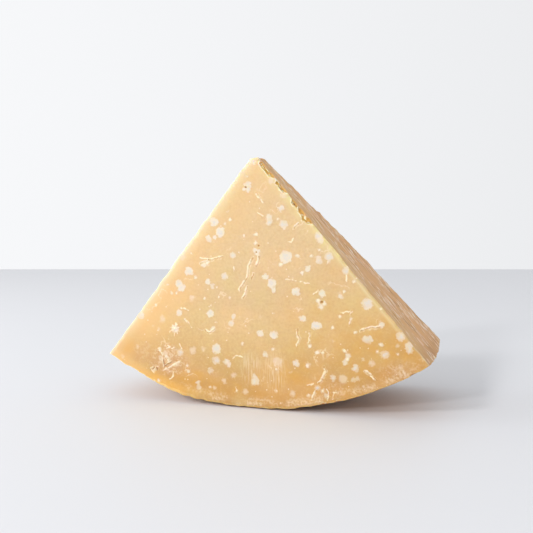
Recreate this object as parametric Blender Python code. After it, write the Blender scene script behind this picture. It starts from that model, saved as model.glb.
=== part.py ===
"""A chunk of grana cheese, standing on its rind with its tip up.

The chunk is made the way the real one is. A sector of the wheel's barrel-shaped side is turned about
the wheel's axis, and knife cuts take away all that isn't the chunk. Its surface is then divided finely
and shaped: the faint waves a wire leaves, splits and pits in the paste, scoops broken from the edges
and furrows dragged along the right cut. Last, triangles that hold no detail are merged.

Frame: +Z up, the front cut faces -Y. The origin is the middle of the small flat that the rind rests on,
straight under the wheel's axis, on the rind's widest ring.
"""

import math

import bmesh
import bpy
import numpy as np
from mathutils import Vector, noise

MM = 0.001

# The wheel that the chunk was cut from.
WHEEL_RADIUS = 180 * MM  # at its widest ring
RIND_CURVE_RADIUS = 406 * MM  # of the barrel-shaped side, from one flat face of the wheel to the other
REST_SINK = 0.5 * MM  # the rind is pressed flat this deep where it stands
AXIS_HEIGHT = WHEEL_RADIUS - REST_SINK

# The chunk.
FRONT_Y = -30 * MM  # the front cut, ahead of the widest ring
TIP_X = 0.6 * MM
TIP_HEIGHT = 148.6 * MM  # where the two side cuts would meet
BLUNT_HEIGHT = 145.4 * MM  # the tip is worn flat here
LEFT_ANGLE = math.radians(31.7)  # from straight down to the left corner, seen from the wheel's axis
RIGHT_ANGLE = math.radians(34.35)
DEPTH_AT_TIP = 9.5 * MM
KNEE_ALONG = 64 * MM  # along the right edge from the tip, where the two rear cuts meet
DEPTH_AT_KNEE = 49.5 * MM
DEPTH_AT_RIGHT = 80.5 * MM
DEPTH_AT_LEFT = 63 * MM

# Relief that covers a whole side.
CUT_WAVE = 0.4 * MM
CUT_WAVE_LENGTH = 34 * MM
WAVE_SHIFT = 1.7  # moves the waves from one cut to the next, in wave lengths
FURROW_DEPTH = 0.35 * MM  # of the drag marks on the right cut
FURROW_WIDTH = 3.2 * MM
FURROW_LENGTH = 30 * MM
RIND_WAVE = 0.3 * MM
RIND_WAVE_LENGTH = 22 * MM
SWELL_HEIGHT = 1.6 * MM  # the wheel's side bulges here, left of the middle at the front
SWELL_ANGLE = math.radians(-15)
SWELL_SPREAD = math.radians(5.5)
SWELL_DEPTH = 45 * MM

# Crumbling along the edges.
EDGE_WEAR = 0.65 * MM
EDGE_WEAR_REACH = 2.2 * MM
EDGE_WEAR_LENGTH = 4 * MM
EDGE_WEAR_EVEN = 0.45  # the share of the wear that is the same everywhere

# Splits in the front cut: start and end (x, height), how far the middle bows to the right, width, depth.
FRONT_SPLITS = (
    ((2.6 * MM, 92.0 * MM), (-7.4 * MM, 66.4 * MM), 1.6 * MM, 1.4 * MM, 1.2 * MM),
    ((3.4 * MM, 89.0 * MM), (-1.0 * MM, 72.8 * MM), 0.8 * MM, 1.2 * MM, 1.0 * MM),
    ((-32.6 * MM, 83.4 * MM), (-17.8 * MM, 88.0 * MM), -0.6 * MM, 1.4 * MM, 0.8 * MM),
    ((4.9 * MM, 142.0 * MM), (10.4 * MM, 135.0 * MM), 0.3 * MM, 1.2 * MM, 2.2 * MM),
    ((14.0 * MM, 131.8 * MM), (19.6 * MM, 125.0 * MM), -0.3 * MM, 1.2 * MM, 2.0 * MM),
    ((28.2 * MM, 116.0 * MM), (29.3 * MM, 108.8 * MM), 0.9 * MM, 1.2 * MM, 2.0 * MM),
    ((29.1 * MM, 109.2 * MM), (35.2 * MM, 109.2 * MM), 0.0 * MM, 1.2 * MM, 2.2 * MM),
    ((27.4 * MM, 108.2 * MM), (25.2 * MM, 104.6 * MM), -0.6 * MM, 1.0 * MM, 0.9 * MM),
    ((64.0 * MM, 49.6 * MM), (75.4 * MM, 54.0 * MM), 0.8 * MM, 1.1 * MM, 0.7 * MM),
    ((42.4 * MM, 28.0 * MM), (37.6 * MM, 15.6 * MM), 1.0 * MM, 1.3 * MM, 0.8 * MM),
    ((26.2 * MM, 47.6 * MM), (26.4 * MM, 39.6 * MM), 0.6 * MM, 1.1 * MM, 0.7 * MM),
)
SPLIT_POINTS = 9  # a split's bowed middle line is followed through this many points
SPLIT_END = 0.35  # a split's width at its ends, as a share of its width in the middle

# Pits in the front cut: (x, height), radius, depth.
FRONT_PITS = (
    ((3.2 * MM, 95.6 * MM), 1.2 * MM, 1.3 * MM),
    ((1.9 * MM, 91.8 * MM), 2.2 * MM, 0.8 * MM),
    ((-27.4 * MM, 86.4 * MM), 1.4 * MM, 0.9 * MM),
    ((-4.3 * MM, 128.9 * MM), 1.5 * MM, 1.0 * MM),
    ((40.5 * MM, 64.1 * MM), 1.3 * MM, 1.1 * MM),
    ((24.6 * MM, 118.6 * MM), 1.7 * MM, 1.8 * MM),
)

# Scoops broken from the front's right edge: distance along it from the tip, radius, how far it bites in.
EDGE_SCOOPS = (
    (9.0 * MM, 5.0 * MM, 1.3 * MM),
    (16.5 * MM, 4.0 * MM, 1.5 * MM),
    (27.0 * MM, 5.5 * MM, 1.6 * MM),
    (37.5 * MM, 4.0 * MM, 1.5 * MM),
    (44.0 * MM, 4.5 * MM, 2.0 * MM),
    (50.5 * MM, 3.5 * MM, 1.8 * MM),
)
NOTCH_X = 41.6 * MM  # a crumb is missing from the rind's front edge here
NOTCH_RADIUS = 2.6 * MM
NOTCH_BITE = 1.1 * MM

# How the sector is turned and divided, and what it leaves round the chunk to cut away.
SECTOR_STEPS = 38
RIND_BANDS = 12
SECTOR_MARGIN = math.radians(4)
DEPTH_MARGIN = 6 * MM
CORE_RADIUS = 18 * MM
SQUARE = 4.8 * MM  # the cut faces are scored into squares of this size
FINE_CUTS = 4  # and each square's edges are divided by this many points
SHORTEST_EDGE = 0.5 * MM
TOUCH = 0.02 * MM  # a point this near to a cut lies on it
RIND_TOUCH = 0.12 * MM
TRIANGLES = 9200  # of the finished solid
REST_SNAP = 0.05 * MM  # points this near the ground after the merging belong to the rest flat

PASTE_COLOUR = (0.80, 0.56, 0.27, 1.0)
PASTE_ROUGHNESS = 0.55

AXIS = Vector((0, 0, AXIS_HEIGHT))
UP = Vector((0, 0, 1))
DEPTHWARDS = Vector((0, 1, 0))


def rind_radius(y):
    """The wheel's radius at a distance y behind its widest ring."""
    return WHEEL_RADIUS - y * y / (2 * RIND_CURVE_RADIUS)


def on_rind(angle, y):
    """A point of the wheel's side, its angle measured from straight down towards +X."""
    radius = rind_radius(y)
    return Vector((radius * math.sin(angle), y, AXIS_HEIGHT - radius * math.cos(angle)))


TIP = Vector((TIP_X, FRONT_Y, TIP_HEIGHT))
LEFT_CORNER = on_rind(-LEFT_ANGLE, FRONT_Y)
RIGHT_CORNER = on_rind(RIGHT_ANGLE, FRONT_Y)
LEFT_ALONG = (LEFT_CORNER - TIP).normalized()
RIGHT_ALONG = (RIGHT_CORNER - TIP).normalized()
MIDDLE = Vector((0, FRONT_Y + DEPTH_AT_KNEE / 2, TIP_HEIGHT / 2))  # a point deep inside the chunk


def cut_through(first, second, third):
    """A cut through three points, as a point on it and its normal, which points out of the chunk."""
    normal = (second - first).cross(third - first).normalized()
    if normal.dot(MIDDLE - first) > 0:
        normal.negate()
    return first, normal


def knife_cuts():
    """Each cut by name, as a point on it and its outward normal."""
    knee_right = TIP + KNEE_ALONG * RIGHT_ALONG + DEPTH_AT_KNEE * DEPTHWARDS
    knee_left = TIP + KNEE_ALONG * LEFT_ALONG + DEPTH_AT_KNEE * DEPTHWARDS
    tip_rear = TIP + DEPTH_AT_TIP * DEPTHWARDS
    right_rear = RIGHT_CORNER + DEPTH_AT_RIGHT * DEPTHWARDS
    left_rear = LEFT_CORNER + DEPTH_AT_LEFT * DEPTHWARDS
    return {
        "front": (TIP, -DEPTHWARDS),
        "left": cut_through(TIP, LEFT_CORNER, TIP + DEPTHWARDS),
        "right": cut_through(TIP, RIGHT_CORNER, TIP + DEPTHWARDS),
        "rear_low": cut_through(knee_right, right_rear, left_rear),
        "rear_high": cut_through(tip_rear, knee_right, knee_left),
        "blunt": (BLUNT_HEIGHT * UP, UP),
        "rest": (0 * UP, -UP),
    }


CUTS = knife_cuts()


def turn_sector():
    """The part of the wheel round the chunk: a section of its side, turned about the wheel's axis."""
    body = bmesh.new()
    near = FRONT_Y - DEPTH_MARGIN
    far = FRONT_Y + DEPTH_AT_RIGHT + DEPTH_MARGIN
    start = -LEFT_ANGLE - SECTOR_MARGIN
    turn = LEFT_ANGLE + RIGHT_ANGLE + 2 * SECTOR_MARGIN
    section = []
    for band in range(RIND_BANDS + 1):
        y = near + (far - near) * band / RIND_BANDS
        section.append(body.verts.new(on_rind(start, y)))
    core = Vector((math.sin(start), 0, -math.cos(start))) * CORE_RADIUS
    for y in (far, near):
        section.append(body.verts.new(AXIS + core + y * DEPTHWARDS))
    face = body.faces.new(section)
    bmesh.ops.spin(
        body, geom=[face], cent=AXIS, axis=-DEPTHWARDS, angle=turn, steps=SECTOR_STEPS
    )
    bmesh.ops.holes_fill(body, edges=[edge for edge in body.edges if edge.is_boundary], sides=0)
    bmesh.ops.recalc_face_normals(body, faces=body.faces)
    return body


def everything(body):
    return body.verts[:] + body.edges[:] + body.faces[:]


def cut_away(body, point, normal):
    """Cuts off what lies in front of a plane and closes the cut with one face."""
    made = bmesh.ops.bisect_plane(
        body, geom=everything(body), plane_co=point, plane_no=normal, clear_outer=True
    )
    rim = [part for part in made["geom_cut"] if isinstance(part, bmesh.types.BMEdge)]
    bmesh.ops.contextual_create(body, geom=rim)


def score(body, normal, spacing, names):
    """Scores parallel lines, square to a direction, into the faces that lie on the named cuts."""
    reach = [vert.co.dot(normal) for vert in body.verts]
    places = np.arange(min(reach) + spacing / 2, max(reach), spacing)
    for place in places:
        geometry = set()
        for face in body.faces:
            middle = face.calc_center_median()
            if any(abs((middle - CUTS[name][0]).dot(CUTS[name][1])) < TOUCH for name in names):
                geometry.update((face, *face.edges, *face.verts))
        bmesh.ops.bisect_plane(
            body, geom=list(geometry), plane_co=float(place) * normal, plane_no=normal
        )


def divide_surface(body):
    """Divides the whole surface into small triangles of even size."""
    rear = ("rear_low", "rear_high")
    score(body, RIGHT_ALONG, SQUARE, ("front", "right", *rear))
    score(body, CUTS["right"][1], SQUARE, ("front", "left", "blunt", *rear))
    score(body, DEPTHWARDS, SQUARE, ("left", "right"))
    bmesh.ops.remove_doubles(body, verts=body.verts, dist=SHORTEST_EDGE)
    bmesh.ops.triangulate(body, faces=body.faces)
    bmesh.ops.subdivide_edges(body, edges=body.edges, cuts=FINE_CUTS, use_grid_fill=True)
    bmesh.ops.triangulate(body, faces=body.faces)


def noise_at(points, wave_length, shift=0.0):
    """Smooth noise between -1 and 1 at each point, its bumps about a wave length apart."""
    samples = points / np.asarray(wave_length) + shift
    return np.array([noise.noise(Vector(sample)) for sample in samples])


def bowl(apart, radius):
    """1 in the middle of a round hollow, falling to 0 at its rim."""
    return np.clip(1 - (apart / radius) ** 2, 0, None)


def split_line(start, end, bow):
    """Points along a split's bowed middle line, as (x, height)."""
    start = np.array(start)
    along = np.array(end) - start
    across = np.array((-along[1], along[0])) / np.linalg.norm(along)
    if across[0] < 0:
        across = -across
    share = np.linspace(0, 1, SPLIT_POINTS)[:, None]
    return start + share * along + 4 * share * (1 - share) * bow * across


def distance_to_line(places, line):
    """Each place's distance from a line of points, and how far along the line it is, from 0 to 1."""
    apart = np.full(len(places), np.inf)
    share = np.zeros(len(places))
    for index, (start, end) in enumerate(zip(line[:-1], line[1:])):
        run = end - start
        along = np.clip((places - start) @ run / (run @ run), 0, 1)
        gap = np.linalg.norm(places - start - along[:, None] * run, axis=1)
        nearer = gap < apart
        apart[nearer] = gap[nearer]
        share[nearer] = (index + along[nearer]) / (len(line) - 1)
    return apart, share


def front_relief(points):
    """Height of the front cut over its plane: splits and pits go below it."""
    places = points[:, [0, 2]]
    height = np.zeros(len(points))
    for start, end, bow, width, depth in FRONT_SPLITS:
        apart, share = distance_to_line(places, split_line(start, end, bow))
        tapered = width * (SPLIT_END + (1 - SPLIT_END) * 4 * share * (1 - share))
        height -= depth * bowl(apart, tapered)
    for centre, radius, depth in FRONT_PITS:
        height -= depth * bowl(np.linalg.norm(places - centre, axis=1), radius)
    return height


def right_relief(points):
    """Height of the right cut over its plane: furrows run along it, from the tip to the rind."""
    along = (points - TIP) @ np.array(RIGHT_ALONG)
    sheet = np.column_stack((along / FURROW_LENGTH, points[:, 1] / FURROW_WIDTH, 0 * along))
    return FURROW_DEPTH * noise_at(sheet, 1.0)


def rind_relief(points):
    """Height of the rind over the turned barrel: soft dents, and the swelling on its left."""
    angle = np.arctan2(points[:, 0], AXIS_HEIGHT - points[:, 2])
    aside = (angle - SWELL_ANGLE) / SWELL_SPREAD
    behind = (points[:, 1] - FRONT_Y) / SWELL_DEPTH
    swell = SWELL_HEIGHT * np.exp(-(aside**2) - behind**2)
    return swell + RIND_WAVE * noise_at(points, RIND_WAVE_LENGTH)


def gap_to(points, name):
    """Each point's distance from a cut's plane."""
    on, normal = CUTS[name]
    return np.abs((points - np.array(on)) @ np.array(normal))


def gap_to_rind(points):
    """Each point's distance from the turned barrel."""
    across = np.hypot(points[:, 0], points[:, 2] - AXIS_HEIGHT)
    return np.abs(across - rind_radius(points[:, 1]))


def edge_wear(points):
    """How far each point has crumbled away: most on an edge, nothing beyond its reach."""
    gaps = [gap_to(points, name) for name in CUTS if name != "rest"]
    gaps.append(gap_to_rind(points))
    to_next_side = np.sort(gaps, axis=0)[1]
    uneven = EDGE_WEAR_EVEN + noise_at(points, EDGE_WEAR_LENGTH)
    return EDGE_WEAR * np.clip(uneven, 0, None) * bowl(to_next_side, EDGE_WEAR_REACH)


def scoops():
    """Each scoop as the centre and radius of a ball that stands outside the edge it is broken from."""
    outward = (CUTS["front"][1] + CUTS["right"][1]).normalized()
    found = []
    for along, radius, bite in EDGE_SCOOPS:
        found.append((TIP + along * RIGHT_ALONG + (radius - bite) * outward, radius))
    edge = on_rind(math.asin(NOTCH_X / rind_radius(FRONT_Y)), FRONT_Y)
    outward = ((edge - AXIS - FRONT_Y * DEPTHWARDS).normalized() - DEPTHWARDS).normalized()
    found.append((edge + (NOTCH_RADIUS - NOTCH_BITE) * outward, NOTCH_RADIUS))
    return found


def shape(points):
    """Where each point of the plain surface goes on the finished chunk."""
    moved = points.copy()
    for number, (name, (_, normal)) in enumerate(CUTS.items()):
        here = gap_to(points, name) < TOUCH
        height = CUT_WAVE * noise_at(points[here], CUT_WAVE_LENGTH, WAVE_SHIFT * number)
        if name == "front":
            height += front_relief(points[here])
        if name == "right":
            height += right_relief(points[here])
        moved[here] += height[:, None] * np.array(normal)
    here = gap_to_rind(points) < RIND_TOUCH
    outward = points[here] * (1, 0, 1) - np.array(AXIS)
    outward /= np.linalg.norm(outward, axis=1)[:, None]
    moved[here] += rind_relief(points[here])[:, None] * outward
    inward = np.array(MIDDLE) - points
    inward /= np.linalg.norm(inward, axis=1)[:, None]
    moved += edge_wear(points)[:, None] * inward
    for centre, radius in scoops():
        offset = moved - np.array(centre)
        apart = np.linalg.norm(offset, axis=1)
        here = apart < radius
        moved[here] = np.array(centre) + offset[here] / apart[here, None] * radius
    moved[:, 2] = np.clip(moved[:, 2], 0, None)
    resting = gap_to(points, "rest") < TOUCH
    moved[resting] = points[resting]
    return moved


def cheese_material():
    """Close, slightly waxy paste."""
    material = bpy.data.materials.new("grana_paste")
    material.use_nodes = True
    shader = material.node_tree.nodes["Principled BSDF"]
    shader.inputs["Base Color"].default_value = PASTE_COLOUR
    shader.inputs["Roughness"].default_value = PASTE_ROUGHNESS
    shader.inputs["Metallic"].default_value = 0.0
    return material


def make_chunk():
    """The whole chunk, as one closed solid."""
    body = turn_sector()
    for point, normal in CUTS.values():
        cut_away(body, point, normal)
    divide_surface(body)
    points = np.array([vert.co for vert in body.verts])
    for vert, place in zip(body.verts, shape(points)):
        vert.co = place
    bmesh.ops.recalc_face_normals(body, faces=body.faces)
    mesh = bpy.data.meshes.new("grana_chunk")
    body.to_mesh(mesh)
    body.free()
    mesh.materials.append(cheese_material())
    chunk = bpy.data.objects.new("grana_chunk", mesh)
    bpy.context.collection.objects.link(chunk)
    merge_plain_triangles(chunk)


def merge_plain_triangles(chunk):
    """Merges triangles that hold no detail, then sets the flat that the chunk rests on exactly level."""
    merging = chunk.modifiers.new("merge plain triangles", "DECIMATE")
    merging.ratio = TRIANGLES / len(chunk.data.polygons)
    evaluated = chunk.evaluated_get(bpy.context.evaluated_depsgraph_get())
    merged = bpy.data.meshes.new_from_object(evaluated)
    for vert in merged.vertices:
        if vert.co.z < REST_SNAP:
            vert.co.z = 0.0
    chunk.modifiers.clear()
    dense = chunk.data
    chunk.data = merged
    bpy.data.meshes.remove(dense)
    merged.name = chunk.name


for old in list(bpy.data.objects):
    bpy.data.objects.remove(old, do_unlink=True)
make_chunk()
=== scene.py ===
# %% [markdown]
# # A chunk of grana cheese
#
# This lesson dresses a plain solid as a chunk of hard grana cheese. The chunk was cut from a wheel
# almost forty centimetres wide: a wire drawn through the paste left the smooth front, a knife and some
# force left the right side torn, and the wheel's own rind is the curved foot that the chunk stands on.
# White crystals sit all through the paste, and the front's right edge has crumbled near the tip.
#
# The solid arrives as a fixed frame. Everything here is in metres, with +Z up, and stays where it is.

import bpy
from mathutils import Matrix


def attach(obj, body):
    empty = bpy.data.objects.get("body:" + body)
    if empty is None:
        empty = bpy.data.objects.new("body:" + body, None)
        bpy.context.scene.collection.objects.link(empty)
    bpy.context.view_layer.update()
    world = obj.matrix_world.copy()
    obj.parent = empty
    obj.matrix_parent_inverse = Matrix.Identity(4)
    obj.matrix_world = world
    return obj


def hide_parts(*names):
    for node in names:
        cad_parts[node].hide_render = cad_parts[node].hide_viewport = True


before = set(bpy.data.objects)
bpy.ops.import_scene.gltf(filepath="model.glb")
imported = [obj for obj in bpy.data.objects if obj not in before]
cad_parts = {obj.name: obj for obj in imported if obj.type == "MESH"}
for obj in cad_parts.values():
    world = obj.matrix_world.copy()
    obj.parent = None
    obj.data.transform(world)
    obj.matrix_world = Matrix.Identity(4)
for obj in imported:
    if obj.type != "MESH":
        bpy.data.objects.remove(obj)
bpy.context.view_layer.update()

# %% Blender's own modules
import math
import random

import bmesh
import bpy
import numpy as np
from mathutils import Matrix, Vector, noise
from mathutils.bvhtree import BVHTree

MM = 0.001
UP = Vector((0, 0, 1))
DEPTHWARDS = Vector((0, 1, 0))

# %% [markdown]
# ## The camera
#
# The camera comes first, because the places of the crystals and cracks are read off the picture in
# pixels, and only the camera can say where on the cheese a pixel lies. It could be set by eye. Here it
# was fitted: a pinhole camera was moved until the chunk's corners and its curved foot fell on those of
# the picture, with the middle of the picture on the lens's axis.

# %% Camera
PICTURE = 533  # pixels a side
FOCAL_PIXELS = 750  # the lens's focal length, in pixels of the picture
SENSOR = 36  # mm, the usual sensor width
CAMERA_PLACE = Vector((138.6, -437.8, 113.4)) * MM
CAMERA_TURN = math.radians(17.75)  # to the left of looking straight at the front cut
CAMERA_TILT = math.radians(4.0)  # down

camera = bpy.data.objects.new("camera", bpy.data.cameras.new("camera"))
bpy.context.collection.objects.link(camera)
camera.data.sensor_width = SENSOR
camera.data.lens = FOCAL_PIXELS / PICTURE * SENSOR
camera.data.clip_start = 10 * MM
camera.location = CAMERA_PLACE
camera.rotation_euler = (math.radians(90) - CAMERA_TILT, 0, CAMERA_TURN)
bpy.context.scene.camera = camera
print("lens:", round(camera.data.lens, 1), "mm")

# %% [markdown]
# ## The wheel and the cuts
#
# The chunk could be sculpted, or drawn face by face. A cheesemonger gets it in fewer steps: a wheel,
# and a few flat cuts. The skin made here repeats those steps with the solid's own sizes, so it has the
# solid's form, and is then divided far more finely than the solid is. Each cut is kept as a point on
# it and the direction that faces out of the chunk.

# %% Sizes of the wheel and of the chunk
WHEEL_RADIUS = 180 * MM  # at its widest ring
RIND_CURVE_RADIUS = 406 * MM  # of the barrel-shaped side
REST_SINK = 0.5 * MM  # the rind is pressed flat this deep where it stands
AXIS_HEIGHT = WHEEL_RADIUS - REST_SINK
AXIS = AXIS_HEIGHT * UP
FRONT_Y = -30 * MM
LEFT_ANGLE = math.radians(31.7)  # from straight down to the front's left corner, seen from the axis
RIGHT_ANGLE = math.radians(34.35)
TIP = Vector((0.6 * MM, FRONT_Y, 148.6 * MM))  # where the side cuts would meet
BLUNT_HEIGHT = 145.4 * MM
DEPTH_AT_TIP = 9.5 * MM
KNEE_ALONG = 64 * MM  # from the tip along the side edges, where the two rear cuts meet
DEPTH_AT_KNEE = 49.5 * MM
DEPTH_AT_RIGHT = 80.5 * MM
DEPTH_AT_LEFT = 63 * MM


def rind_radius(y):
    """The wheel's radius at a distance y behind its widest ring."""
    return WHEEL_RADIUS - y * y / (2 * RIND_CURVE_RADIUS)


def on_rind(angle, y):
    """A point of the wheel's side, its angle measured from straight down towards +X."""
    radius = rind_radius(y)
    return Vector((radius * math.sin(angle), y, AXIS_HEIGHT - radius * math.cos(angle)))


LEFT_CORNER = on_rind(-LEFT_ANGLE, FRONT_Y)
RIGHT_CORNER = on_rind(RIGHT_ANGLE, FRONT_Y)
LEFT_ALONG = (LEFT_CORNER - TIP).normalized()
RIGHT_ALONG = (RIGHT_CORNER - TIP).normalized()
MIDDLE = Vector((0, FRONT_Y + DEPTH_AT_KNEE / 2, TIP.z / 2))
print("front edges:", [round((corner - TIP).length / MM, 1) for corner in (LEFT_CORNER, RIGHT_CORNER)])


# %% The cuts
def cut_through(first, second, third):
    """A cut through three points, as a point on it and its normal out of the chunk."""
    normal = (second - first).cross(third - first).normalized()
    if normal.dot(MIDDLE - first) > 0:
        normal.negate()
    return first, normal


def knife_cuts():
    """Each cut by name."""
    knee_right = TIP + KNEE_ALONG * RIGHT_ALONG + DEPTH_AT_KNEE * DEPTHWARDS
    knee_left = TIP + KNEE_ALONG * LEFT_ALONG + DEPTH_AT_KNEE * DEPTHWARDS
    tip_rear = TIP + DEPTH_AT_TIP * DEPTHWARDS
    right_rear = RIGHT_CORNER + DEPTH_AT_RIGHT * DEPTHWARDS
    left_rear = LEFT_CORNER + DEPTH_AT_LEFT * DEPTHWARDS
    return {
        "front": (TIP, -DEPTHWARDS),
        "left": cut_through(TIP, LEFT_CORNER, TIP + DEPTHWARDS),
        "right": cut_through(TIP, RIGHT_CORNER, TIP + DEPTHWARDS),
        "rear_low": cut_through(knee_right, right_rear, left_rear),
        "rear_high": cut_through(tip_rear, knee_right, knee_left),
        "blunt": (BLUNT_HEIGHT * UP, UP),
        "rest": (0 * UP, -UP),
    }


CUTS = knife_cuts()
SIDES = ["rind", *CUTS]  # a face's material number is its side's place in this list, until the end
print("sides:", SIDES)

# %% [markdown]
# ## Turning the wheel's side
#
# A wheel's side is a body of revolution, so one section, turned about the wheel's axis with spin, makes
# it. Only the part round the chunk is needed. A margin is left on every side for the cuts to take off.

# %% Turn a sector of the wheel
SECTOR_STEPS = 46
RIND_BANDS = 17
SECTOR_MARGIN = math.radians(4)
DEPTH_MARGIN = 6 * MM
CORE_RADIUS = 18 * MM


def turn_sector():
    """The part of the wheel round the chunk."""
    sector = bmesh.new()
    near = FRONT_Y - DEPTH_MARGIN
    far = FRONT_Y + DEPTH_AT_RIGHT + DEPTH_MARGIN
    start = -LEFT_ANGLE - SECTOR_MARGIN
    turn = LEFT_ANGLE + RIGHT_ANGLE + 2 * SECTOR_MARGIN
    section = []
    for band in range(RIND_BANDS + 1):
        section.append(sector.verts.new(on_rind(start, near + (far - near) * band / RIND_BANDS)))
    core = Vector((math.sin(start), 0, -math.cos(start))) * CORE_RADIUS
    for y in (far, near):
        section.append(sector.verts.new(AXIS + core + y * DEPTHWARDS))
    face = sector.faces.new(section)
    bmesh.ops.spin(sector, geom=[face], cent=AXIS, axis=-DEPTHWARDS, angle=turn, steps=SECTOR_STEPS)
    bmesh.ops.holes_fill(sector, edges=[edge for edge in sector.edges if edge.is_boundary], sides=0)
    bmesh.ops.recalc_face_normals(sector, faces=sector.faces)
    return sector


skin = turn_sector()
print("sector:", len(skin.faces), "faces")

# %% [markdown]
# ## Cutting
#
# bisect_plane cuts like a wire: it splits what it meets and can drop what lies on one side. The open
# cut is then closed with one face. That face is marked with its side's number, because the sides get
# different finishes, and every small face made from it later keeps the mark.


# %% Make the cuts
def cut_away(body, side):
    """Cuts off what lies outside one cut, closes it with one face and marks that face."""
    point, normal = CUTS[side]
    geometry = body.verts[:] + body.edges[:] + body.faces[:]
    made = bmesh.ops.bisect_plane(
        body, geom=geometry, plane_co=point, plane_no=normal, clear_outer=True
    )
    rim = [part for part in made["geom_cut"] if isinstance(part, bmesh.types.BMEdge)]
    closed = bmesh.ops.contextual_create(body, geom=rim)
    for face in closed["faces"]:
        face.material_index = SIDES.index(side)


for side in CUTS:
    cut_away(skin, side)
print("cut sector:", len(skin.faces), "faces")

# %% [markdown]
# ## Where the picture shows its marks
#
# Crystals, cracks and crumbs give this piece its looks, and each has its place. They could be scattered
# at random, but then it would be another chunk. Their places are read off as pixels, kept in groups
# by region, and carried along the line of sight to the front cut.

# %% From a pixel to the front cut
PIXEL = 0.59 * MM  # what one pixel of the picture covers on the front cut
LOOK = Vector((
    -math.sin(CAMERA_TURN) * math.cos(CAMERA_TILT),
    math.cos(CAMERA_TURN) * math.cos(CAMERA_TILT),
    -math.sin(CAMERA_TILT),
))
ACROSS = Vector((math.cos(CAMERA_TURN), math.sin(CAMERA_TURN), 0))
UPWARD = ACROSS.cross(LOOK)


def on_front(x, y):
    """Where the line of sight through a pixel meets the front cut, as (x, height) in metres."""
    aside = (x - PICTURE / 2) / FOCAL_PIXELS
    below = (y - PICTURE / 2) / FOCAL_PIXELS
    sight = LOOK + aside * ACROSS - below * UPWARD
    place = CAMERA_PLACE + sight * ((FRONT_Y - CAMERA_PLACE.y) / sight.y)
    return place.x, place.z


print("middle of the picture:", [round(value / MM, 1) for value in on_front(PICTURE / 2, PICTURE / 2)])

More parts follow.
